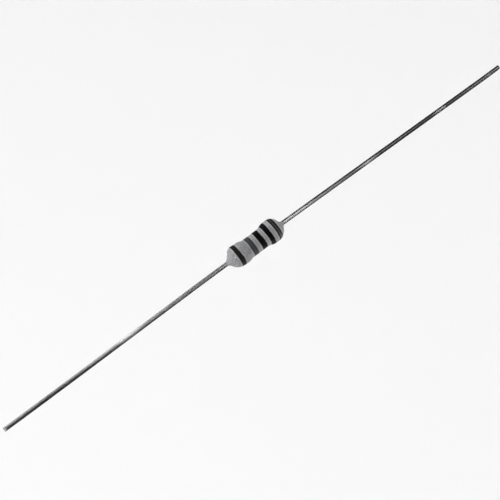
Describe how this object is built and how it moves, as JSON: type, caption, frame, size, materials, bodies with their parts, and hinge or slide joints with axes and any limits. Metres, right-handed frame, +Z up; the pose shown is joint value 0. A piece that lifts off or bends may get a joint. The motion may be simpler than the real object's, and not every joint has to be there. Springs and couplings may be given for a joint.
{
  "type": "axial resistor",
  "caption": "Axial film resistor: a grey lacquered dog-bone body with dark printed bands and straight tinned wire leads.",
  "frame": {"origin": "centre of the body, on its axis", "axes": "+X along the body towards the end of the first digit's band, +Z up, and -Y the side to which the right wire leans"},
  "size_m": [0.0624, 0.0024, 0.0024],
  "materials": {
    "rod_ceramic": "matte",
    "film_alloy": "satin",
    "cap_plated_steel": "satin",
    "wire_tinned_copper": "gloss",
    "lacquer": "satin",
    "first_digit_ink": "satin",
    "second_digit_ink": "satin",
    "third_digit_ink": "satin",
    "multiplier_ink": "satin",
    "tolerance_ink": "satin"
  },
  "bodies": {
    "root": {"ceramic_rod": "rod_ceramic", "resistive_film": "film_alloy", "end_cap_left": "cap_plated_steel", "end_cap_right": "cap_plated_steel", "lead_wire_left": "wire_tinned_copper", "lead_wire_right": "wire_tinned_copper", "coating": "lacquer", "band_first_digit": "first_digit_ink", "band_second_digit": "second_digit_ink", "band_third_digit": "third_digit_ink", "band_multiplier": "multiplier_ink", "band_tolerance": "tolerance_ink"}
  },
  "joints": []
}
